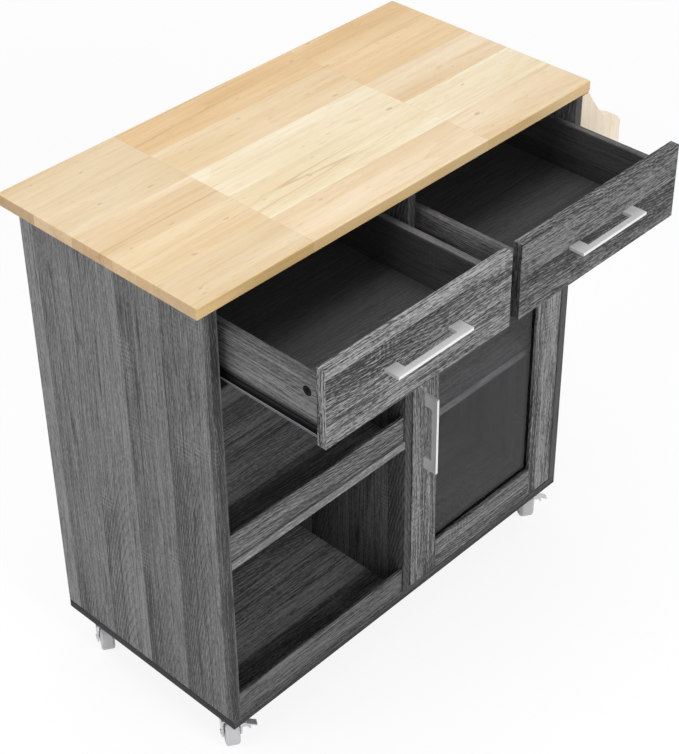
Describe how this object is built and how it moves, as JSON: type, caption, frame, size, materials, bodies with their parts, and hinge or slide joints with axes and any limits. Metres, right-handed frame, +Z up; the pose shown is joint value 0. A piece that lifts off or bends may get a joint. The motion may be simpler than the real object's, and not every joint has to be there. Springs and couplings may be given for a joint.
{
  "type": "kitchen cart",
  "caption": "Rolling kitchen cart with a butcher-block worktop, pull-out drawers on roller runners, an open lipped bay, a glass-door cabinet and a side towel rack.",
  "frame": {"origin": "on the floor, under the middle of the carcass", "axes": "+Z up, -Y to the front with the drawers and the door, +X to the right with the towel rack"},
  "size_m": [0.886, 0.611, 0.843],
  "materials": {
    "rubberwood": "satin lacquer over staves",
    "grey_oak": "matt grey oak laminate",
    "drawer_lining": "matt charcoal laminate",
    "pale_wood": "satin lacquer",
    "satin_nickel": "satin",
    "zinc": "bright zinc",
    "runner_steel": "satin black",
    "roller_plastic": "moulded",
    "wheel_plastic": "moulded",
    "glass": "clear, grey tint",
    "seal": "matt"
  },
  "bodies": {
    "carcass": {"worktop": "rubberwood", "base_panel": "grey_oak", "left_side_panel": "grey_oak", "right_side_panel": "grey_oak", "centre_divider": "grey_oak", "back_panel": "grey_oak", "open_shelf": "grey_oak", "shelf_lip": "grey_oak", "base_lip": "grey_oak", "cabinet_shelf": "grey_oak", "shelf_pins": "zinc", "left_cabinet_runners": "runner_steel", "right_cabinet_runners": "runner_steel", "hinge_arms": "zinc", "rack_front_bracket": "pale_wood", "rack_rear_bracket": "pale_wood", "rack_rail": "pale_wood", "caster_plates": "zinc", "caster_screws": "zinc"},
    "left_drawer": {"left_drawer_front": "grey_oak", "left_drawer_left_side": "drawer_lining", "left_drawer_right_side": "drawer_lining", "left_drawer_back": "drawer_lining", "left_drawer_bottom": "drawer_lining", "left_drawer_handle": "satin_nickel", "left_drawer_runners": "runner_steel", "left_drawer_fasteners": "zinc"},
    "left_cabinet_rollers": {"left_cabinet_rollers": "roller_plastic"},
    "left_drawer_rollers": {"left_drawer_rollers": "roller_plastic"},
    "right_drawer": {"right_drawer_front": "grey_oak", "right_drawer_left_side": "drawer_lining", "right_drawer_right_side": "drawer_lining", "right_drawer_back": "drawer_lining", "right_drawer_bottom": "drawer_lining", "right_drawer_handle": "satin_nickel", "right_drawer_runners": "runner_steel", "right_drawer_fasteners": "zinc"},
    "right_cabinet_rollers": {"right_cabinet_rollers": "roller_plastic"},
    "right_drawer_rollers": {"right_drawer_rollers": "roller_plastic"},
    "door": {"door_left_stile": "grey_oak", "door_right_stile": "grey_oak", "door_top_rail": "grey_oak", "door_bottom_rail": "grey_oak", "door_glass": "glass", "glass_seal": "seal", "door_handle": "satin_nickel", "door_handle_screws": "zinc", "hinge_cups": "zinc"},
    "front_left_fork": {"front_left_fork": "zinc"},
    "front_left_wheel": {"front_left_wheel": "wheel_plastic"},
    "front_left_brake_pedal": {"front_left_brake_pedal": "zinc"},
    "front_right_fork": {"front_right_fork": "zinc"},
    "front_right_wheel": {"front_right_wheel": "wheel_plastic"},
    "front_right_brake_pedal": {"front_right_brake_pedal": "zinc"},
    "rear_left_fork": {"rear_left_fork": "zinc"},
    "rear_left_wheel": {"rear_left_wheel": "wheel_plastic"},
    "rear_right_fork": {"rear_right_fork": "zinc"},
    "rear_right_wheel": {"rear_right_wheel": "wheel_plastic"}
  },
  "joints": [
    {"name": "left_drawer_slide", "type": "slide", "parent": "carcass", "child": "left_drawer", "axis": [0, -1, 0], "range_m": [-0.186, 0.064]},
    {"name": "left_cabinet_rollers_turn", "type": "hinge", "parent": "carcass", "child": "left_cabinet_rollers", "pos_m": [-0.18725, -0.152, 0.7002], "axis": [1, 0, 0], "range_deg": [-1190, 410]},
    {"name": "left_drawer_rollers_turn", "type": "hinge", "parent": "left_drawer", "child": "left_drawer_rollers", "pos_m": [-0.18725, -0.038, 0.7002], "axis": [1, 0, 0], "range_deg": [-1190, 410]},
    {"name": "right_drawer_slide", "type": "slide", "parent": "carcass", "child": "right_drawer", "axis": [0, -1, 0], "range_m": [-0.186, 0.064]},
    {"name": "right_cabinet_rollers_turn", "type": "hinge", "parent": "carcass", "child": "right_cabinet_rollers", "pos_m": [0.18725, -0.152, 0.7002], "axis": [1, 0, 0], "range_deg": [-1190, 410]},
    {"name": "right_drawer_rollers_turn", "type": "hinge", "parent": "right_drawer", "child": "right_drawer_rollers", "pos_m": [0.18725, -0.038, 0.7002], "axis": [1, 0, 0], "range_deg": [-1190, 410]},
    {"name": "door_hinge", "type": "hinge", "parent": "carcass", "child": "door", "pos_m": [0.3505, -0.1825, 0.39], "axis": [0, 0, 1], "range_deg": [0, 95]},
    {"name": "front_left_swivel", "type": "hinge", "parent": "carcass", "child": "front_left_fork", "pos_m": [-0.352, -0.145, 0.054], "axis": [0, 0, 1], "continuous": true},
    {"name": "front_left_wheel_turn", "type": "hinge", "parent": "front_left_fork", "child": "front_left_wheel", "pos_m": [-0.36028, -0.15751, 0.0235], "axis": [0.8339, -0.5519, 0], "continuous": true},
    {"name": "front_left_brake", "type": "hinge", "parent": "front_left_fork", "child": "front_left_brake_pedal", "pos_m": [-0.3436, -0.16855, 0.037], "axis": [0.5519, 0.8339, 0], "range_deg": [0, 14]},
    {"name": "front_right_swivel", "type": "hinge", "parent": "carcass", "child": "front_right_fork", "pos_m": [0.352, -0.145, 0.054], "axis": [0, 0, 1], "continuous": true},
    {"name": "front_right_wheel_turn", "type": "hinge", "parent": "front_right_fork", "child": "front_right_wheel", "pos_m": [0.34372, -0.15751, 0.0235], "axis": [0.8339, -0.5519, 0], "continuous": true},
    {"name": "front_right_brake", "type": "hinge", "parent": "front_right_fork", "child": "front_right_brake_pedal", "pos_m": [0.3604, -0.16855, 0.037], "axis": [0.5519, 0.8339, 0], "range_deg": [0, 14]},
    {"name": "rear_left_swivel", "type": "hinge", "parent": "carcass", "child": "rear_left_fork", "pos_m": [-0.352, 0.145, 0.054], "axis": [0, 0, 1], "continuous": true},
    {"name": "rear_left_wheel_turn", "type": "hinge", "parent": "rear_left_fork", "child": "rear_left_wheel", "pos_m": [-0.36028, 0.13249, 0.0235], "axis": [0.8339, -0.5519, 0], "continuous": true},
    {"name": "rear_right_swivel", "type": "hinge", "parent": "carcass", "child": "rear_right_fork", "pos_m": [0.352, 0.145, 0.054], "axis": [0, 0, 1], "continuous": true},
    {"name": "rear_right_wheel_turn", "type": "hinge", "parent": "rear_right_fork", "child": "rear_right_wheel", "pos_m": [0.34372, 0.13249, 0.0235], "axis": [0.8339, -0.5519, 0], "continuous": true}
  ],
  "couplings": [
    {"joint": "left_cabinet_rollers_turn", "follows": "left_drawer_slide", "rad_per_m": 111.11},
    {"joint": "left_drawer_rollers_turn", "follows": "left_drawer_slide", "rad_per_m": 111.11},
    {"joint": "right_cabinet_rollers_turn", "follows": "right_drawer_slide", "rad_per_m": 111.11},
    {"joint": "right_drawer_rollers_turn", "follows": "right_drawer_slide", "rad_per_m": 111.11}
  ]
}
